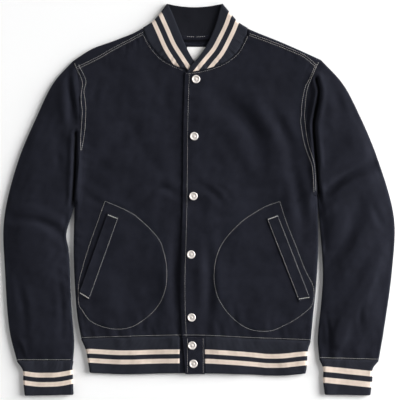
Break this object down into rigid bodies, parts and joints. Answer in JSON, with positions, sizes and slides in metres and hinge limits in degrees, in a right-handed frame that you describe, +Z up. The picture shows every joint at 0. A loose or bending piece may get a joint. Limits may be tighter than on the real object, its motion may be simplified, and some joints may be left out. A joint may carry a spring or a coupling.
{
  "type": "varsity jacket laid flat",
  "caption": "Snap-front varsity jacket laid flat on its back, with striped rib collar, cuffs and hem and slanted welt pockets.",
  "frame": {"origin": "on the underside of the back panel where it rests, below the middle of the chest", "axes": "+Z up from the surface to the front of the jacket, +Y towards the neck, +X towards the wearer's left"},
  "size_m": [0.7628, 0.764, 0.0112],
  "materials": {
    "body_cloth": "matt, very dark navy twill",
    "rib_knit": "matt dark navy rib knit with cream stripes",
    "neck_trim": "matt tape",
    "label_cloth": "matt white woven cloth, bare",
    "snap_metal": "satin silver"
  },
  "bodies": {
    "root": {"back": "body_cloth", "front_right": "body_cloth", "front_left": "body_cloth", "sleeve_right": "body_cloth", "sleeve_left": "body_cloth", "collar": "rib_knit", "hem_rib": "rib_knit", "cuff_right": "rib_knit", "cuff_left": "rib_knit", "hem_tab_under": "body_cloth", "hem_tab_over": "body_cloth", "pocket_welt_right": "body_cloth", "pocket_welt_left": "body_cloth", "neck_tape": "neck_trim", "hanger_loop": "neck_trim", "neck_label": "label_cloth", "snap_cap_1": "snap_metal", "snap_cap_2": "snap_metal", "snap_cap_3": "snap_metal", "snap_cap_4": "snap_metal", "snap_cap_5": "snap_metal", "snap_cap_6": "snap_metal", "snap_cap_7": "snap_metal"}
  },
  "joints": []
}
